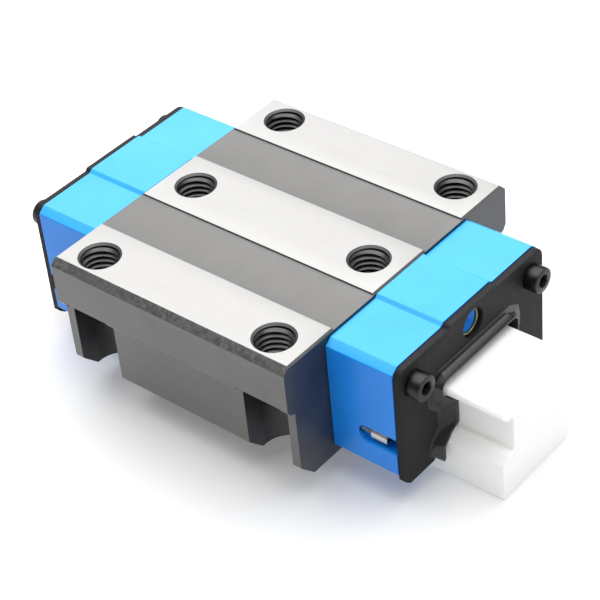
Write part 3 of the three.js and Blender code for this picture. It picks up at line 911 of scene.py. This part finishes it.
def build_lips():
    """A flap that leans out and down from a ridge on the plate to a thin rim round the rail."""
    inner = rail_opening(LIP_OPENING)[::-1]
    *upper_rows, toe = LIP_EDGE
    round_off = 0.08
    levels = [
        (lip_low.x, 0, 0.0),
        (lip_low.x + 0.12, 1, 0.0),
        (lip_high.x - round_off, 2, 0.0),
        (lip_high.x, 2, round_off),
    ]
    rings = []
    for x, column, trim in levels:
        edge = [(row[column][0] - trim, row[column][1] - trim, 0.5) for row in upper_rows]
        toe_y, toe_z = toe[column]
        edge.append((toe_y, toe_z + trim, 0.15))
        foot = (inner[0][0], toe_z + LIP_FOOT_RISE, 0.1)
        outline = rounded(mirrored([*edge, foot, *inner]), steps=5)
        rings.append([(x, y, z) for y, z in outline])
    bm = bmesh.new()
    loft(bm, rings)
    piece = new_object("wiper_lip_front", bm)
    finish_piece(piece, "carriage", "black_rubber", [RUBBER])
    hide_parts("seal_lip_front")
    rear = turned_about("wiper_lip_rear", piece, "carriage", "black_rubber")
    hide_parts("seal_lip_rear")


# ---------- screws and port ring ----------
CAP_SCREW = {
    "name": "cap_screw",
    "node": "seal_screw",
    "slot": "black_screw",
    "finish": SCREW,
    "y": SEAL_SCREW_Y,
    "z": SEAL_SCREW_Z,
    "seat": seal_high.x + 0.05,
    "top": head_high.x,
    "tip": head_low.x,
    "radius": 2.75,
    "shank": 1.4,
    "edge": 0.3,
    "key": 1.44,
    "depth": 1.5,
}
PIN_SCREW = {
    "name": "pin_screw",
    "node": "plate_screw",
    "slot": "plain_screw",
    "finish": PIN,
    "y": PLATE_SCREW_Y,
    "z": PLATE_SCREW_Z,
    "seat": PLATE_SCREW_SEAT,
    "top": pin_high.x,
    "tip": pin_low.x,
    "radius": 1.5,
    "shank": 1.0,
    "edge": 0.25,
    "key": 0.85,
    "depth": 1.2,
}


def screw_profile(shape):
    """(x, radius) pairs from the shank's tip to the head's top."""
    seat, top, radius = shape["seat"], shape["top"], shape["radius"]
    tip, shank, edge = shape["tip"], shape["shank"], shape["edge"]
    return [
        (tip, shank * 0.7),
        (tip + 0.4, shank),
        (seat - 0.05, shank),
        (seat, shank + 0.02),
        (seat, radius - 0.1),
        (seat + 0.1, radius),
        (top - edge, radius),
        (top - 0.3 * edge, radius - 0.3 * edge),
        (top, radius - edge),
    ]


def add_socket(bm, shape, y):
    """The hexagonal key socket."""
    hexagon = circle(shape["key"], 6, y, shape["z"])
    run_along_x(bm, hexagon, shape["top"] - shape["depth"], shape["top"] + 0.3)


def add_socket_mouth(bm, shape, y):
    """The cone at the socket's mouth."""
    top, key = shape["top"], shape["key"]
    flat = key * math.cos(math.pi / 6)
    profile = [(top - 0.25, flat), (top, key + 0.06), (top + 0.3, key + 0.36)]
    lathe(bm, profile, 36, along_x_at(y, shape["z"]))


def in_socket(centre, shape, y):
    away = math.hypot(centre.y - y, centre.z - shape["z"])
    return away < shape["key"] * 0.99 and shape["top"] - 2.2 < centre.x < shape["top"] - 0.15


def build_screw(shape):
    """One front screw on each side, and each one's copy at the rear."""
    for side_name, side in SIDES.items():
        y = side * shape["y"]
        bm = bmesh.new()
        lathe(bm, screw_profile(shape), 56, along_x_at(y, shape["z"]))
        piece = new_object(f"{shape['name']}_front_{side_name}", bm)
        cut(piece, lambda tools, at=y: add_socket_mouth(tools, shape, at))
        cut(piece, lambda tools, at=y: add_socket(tools, shape, at))
        dark = [int(in_socket(poly.center, shape, y)) for poly in piece.data.polygons]
        finish_piece(piece, "carriage", shape["slot"], [shape["finish"], DARK], choices=dark)
        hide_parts(f"{shape['node']}_front_{side_name}")
        other = "right" if side_name == "left" else "left"
        rear = turned_about(f"{shape['name']}_rear_{other}", piece, "carriage", shape["slot"])
        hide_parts(f"{shape['node']}_rear_{other}")


def build_screws():
    build_screw(CAP_SCREW)
    build_screw(PIN_SCREW)


def build_port_rings():
    inner = PORT_RING_INNER
    outer = port_high.y
    section = rounded(
        [
            (port_low.x, inner, 0.1),
            (port_low.x, outer, 0.1),
            (port_high.x, outer, 0.12),
            (port_high.x, inner, 0.12),
        ],
        steps=3,
    )
    sides = 64
    bm = bmesh.new()
    rows = []
    for i in range(sides):
        turn = 2 * math.pi * i / sides
        ring = [(x, r * math.cos(turn), PORT_Z + r * math.sin(turn)) for x, r in section]
        rows.append([bm.verts.new(point) for point in ring])
    for i in range(sides):
        near, far = rows[i], rows[(i + 1) % sides]
        for k in range(len(section)):
            m = (k + 1) % len(section)
            bm.faces.new((near[k], near[m], far[m], far[k]))
    piece = new_object("port_ring_front", bm)
    finish_piece(piece, "carriage", "brass", [BRASS])
    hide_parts("grease_port_ring_front")
    rear = turned_about("port_ring_rear", piece, "carriage", "brass")
    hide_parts("grease_port_ring_rear")


# ---------- mounting rail ----------
def build_rail():
    half = rail_high.y
    shoulder_rise = RAIL_SHOULDER - TRACK_INSET
    groove = [
        (half, half - TRACK_INSET, 0.5),
        (RAIL_SHOULDER, shoulder_rise, 0.5),
        (RAIL_WAIST + 0.5, shoulder_rise, 0.4),
        (RAIL_WAIST, shoulder_rise - 0.5, 0.4),
    ]
    corners = [(half, rail_high.z, 1.6), *about_groove(groove), (half, rail_low.z, 0.6)]
    outline = rounded(mirrored(corners), steps=6)
    bm = bmesh.new()
    run_along_x(bm, outline, rail_low.x, rail_high.x)
    bevel_at_x(bm, (rail_low.x, rail_high.x), 0.45, 3)
    piece = new_object("mounting_rail_plastic", bm)
    finish_piece(piece, "mounting_rail", "white_plastic", [WHITE_WITH_PAINTED_GLOW])
    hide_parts("mounting_rail")


# ---------- rollers and their chains ----------
ROLLER_HALF = 2.08
BAND_OUTER = 2.3


def add_roller(bm, place):
    edge = 0.14
    profile = [
        (-ROLLER_HALF, ROLLER_RADIUS - edge),
        (-ROLLER_HALF + edge, ROLLER_RADIUS),
        (ROLLER_HALF - edge, ROLLER_RADIUS),
        (ROLLER_HALF, ROLLER_RADIUS - edge),
    ]
    lathe(bm, profile, 28, place)


def add_spacer(bm, place):
    """The chain's bridge between two rollers, hollowed on both sides to follow them."""
    clear = ROLLER_RADIUS + 0.06
    pitch_half = ROLLER_PITCH / 2
    heights = [-1.0, -0.6, -0.2, 0.2, 0.6, 1.0]
    reach = [pitch_half - math.sqrt(clear * clear - n * n) for n in heights]
    outline = [(t, n) for t, n in zip(reach, heights)]
    outline += [(-t, n) for t, n in zip(reversed(reach), reversed(heights))]
    loft(bm, [[place(t, n, w) for t, n in outline] for w in (-BAND_OUTER, BAND_OUTER)])


def build_roller_row(name, body, node, count, place):
    """place(index, t, n, w): t along the track from roller index, n away from it, w along its axis."""
    bm = bmesh.new()
    for i in range(count):
        add_roller(bm, lambda s, a, b, at=i: place(at, a, b, s))
    rollers_end = len(bm.faces)
    for i in range(count - 1):
        add_spacer(bm, lambda t, n, w, at=i + 0.5: place(at, t, n, w))
    choices = [0] * rollers_end + [1] * (len(bm.faces) - rollers_end)
    piece = new_object(name, bm)
    finish_piece(piece, body, "roller_steel", [ROLLER, RETAINER], 34, choices)
    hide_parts(node)


def row_place(count, v, matrix):
    def place(i, t, n, w):
        return matrix @ Vector(((i - (count - 1) / 2) * ROLLER_PITCH + t, v + n, w))

    return place


def turn_place(circuit, end, matrix):
    """Rollers on the half turn at one end, from the loaded row's side to the return row's."""
    start = circuit["count"] * ROLLER_PITCH / 2

    def place(i, t, n, w):
        turn = -math.pi / 2 + (i + 0.5) * math.pi / ROLLERS_PER_TURN
        along = TURN_RADIUS + n
        x = start + along * math.cos(turn) - t * math.sin(turn)
        v = TURN_RADIUS + along * math.sin(turn) + t * math.cos(turn)
        return matrix @ Vector((end * x, v, end * w))

    return place


def build_rollers():
    for side_name, side in SIDES.items():
        for circuit_name, circuit in CIRCUITS.items():
            label = f"{circuit_name}_{side_name}"
            matrix = track_matrix(circuit, side)
            count = circuit["count"]
            for kind, v in (("loaded", 0), ("return", 2 * TURN_RADIUS)):
                build_roller_row(
                    f"rollers_and_chain_{kind}_{label}",
                    f"rollers_{kind}_{label}",
                    f"roller_row_{kind}_{label}",
                    count,
                    row_place(count, v, matrix),
                )
            for end_name, end in ENDS.items():
                build_roller_row(
                    f"rollers_and_chain_turn_{end_name}_{label}",
                    f"rollers_turn_{end_name}_{label}",
                    f"roller_turn_{end_name}_{label}",
                    ROLLERS_PER_TURN,
                    turn_place(circuit, end, matrix),
                )


# ---------- CAD nodes that are kept ----------
def dress_kept_nodes():
    finishes = {
        "upper_retainer": RETAINER,
        "middle_retainer": RETAINER,
        "lower_retainer": RETAINER,
        "under_seal": RUBBER,
        "return_sleeve": GUIDE,
        "turn_guide": GUIDE,
    }
    for name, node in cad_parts.items():
        for start, finish in finishes.items():
            if name.startswith(start):
                for material_slot in node.material_slots:
                    material_slot.material = finish


# ---------- stage ----------
def stage_material():
    made = Surface("pale_floor")
    cloud = made.noise((6, 6, 6), detail=2)
    made.set(
        Base_Color=made.ramp(cloud, even(0.72), even(0.75)),
        Roughness=0.7,
        Specular_IOR_Level=0.15,
        Emission_Color=(1, 1, 1, 1),
        Emission_Strength=0.14,
    )
    return made.material


def build_floor():
    half = 3000
    top = rail_low.z
    bm = bmesh.new()
    outline = [(-half, -half), (half, -half), (half, half), (-half, half)]
    run_along_z(bm, outline, top - 10, top)
    floor = new_object("studio_floor", bm)
    floor.data.transform(Matrix.Scale(MM, 4))
    floor.data.materials.append(stage_material())


def add_softbox(name, location, aim, size, watts):
    light = bpy.data.lights.new(name, "AREA")
    light.shape = "RECTANGLE"
    light.size, light.size_y = size
    light.energy = watts
    holder = bpy.data.objects.new(name, light)
    bpy.context.scene.collection.objects.link(holder)
    holder.location = location
    direction = Vector(aim) - Vector(location)
    holder.rotation_mode = "QUATERNION"
    holder.rotation_quaternion = direction.to_track_quat("-Z", "Y")


def build_lights():
    world = bpy.data.worlds.new("studio_world")
    bpy.context.scene.world = world
    world.use_nodes = True
    background = world.node_tree.nodes["Background"]
    background.inputs["Color"].default_value = (0.95, 0.97, 1.0, 1)
    background.inputs["Strength"].default_value = 0.34
    add_softbox("overhead_softbox", (-0.10, 0.16, 0.90), (0, 0, -0.02), (1.5, 1.5), 22.0)
    add_softbox("back_softbox", (-0.60, 0.65, 0.42), (0, 0, -0.02), (0.60, 0.40), 2.0)


CAMERA_AZIMUTH = 43.109
CAMERA_ELEVATION = 38.401
CAMERA_ROLL = -5.939
CAMERA_TARGET = (19.455, -17.285, 0.0)
CAMERA_DISTANCE = 368.284
SENSOR_WIDTH = 36
FOCAL_LENGTH = 117.17508


def build_camera():
    azimuth = math.radians(CAMERA_AZIMUTH)
    elevation = math.radians(CAMERA_ELEVATION)
    roll = math.radians(CAMERA_ROLL)
    back = Vector(
        (
            math.sin(azimuth) * math.cos(elevation),
            -math.cos(azimuth) * math.cos(elevation),
            math.sin(elevation),
        )
    )
    level = Vector((0, 0, 1)).cross(back).normalized()
    upright = back.cross(level)
    right = math.cos(roll) * level + math.sin(roll) * upright
    up = -math.sin(roll) * level + math.cos(roll) * upright
    data = bpy.data.cameras.new("studio_camera")
    data.sensor_width = SENSOR_WIDTH
    data.lens = FOCAL_LENGTH
    data.clip_start = 0.01
    data.clip_end = 20
    camera = bpy.data.objects.new("studio_camera", data)
    bpy.context.scene.collection.objects.link(camera)
    location = Vector(CAMERA_TARGET) * MM + back * (CAMERA_DISTANCE * MM)
    camera.matrix_world = Matrix(
        (
            (right.x, up.x, back.x, location.x),
            (right.y, up.y, back.y, location.y),
            (right.z, up.z, back.z, location.z),
            (0, 0, 0, 1),
        )
    )
    bpy.context.scene.camera = camera


build_casing()
build_end_plates()
build_seal_plates()
build_lips()
build_screws()
build_port_rings()
build_rail()
build_rollers()
dress_kept_nodes()
build_floor()
build_lights()
build_camera()
bpy.context.scene.view_settings.view_transform = "Standard"
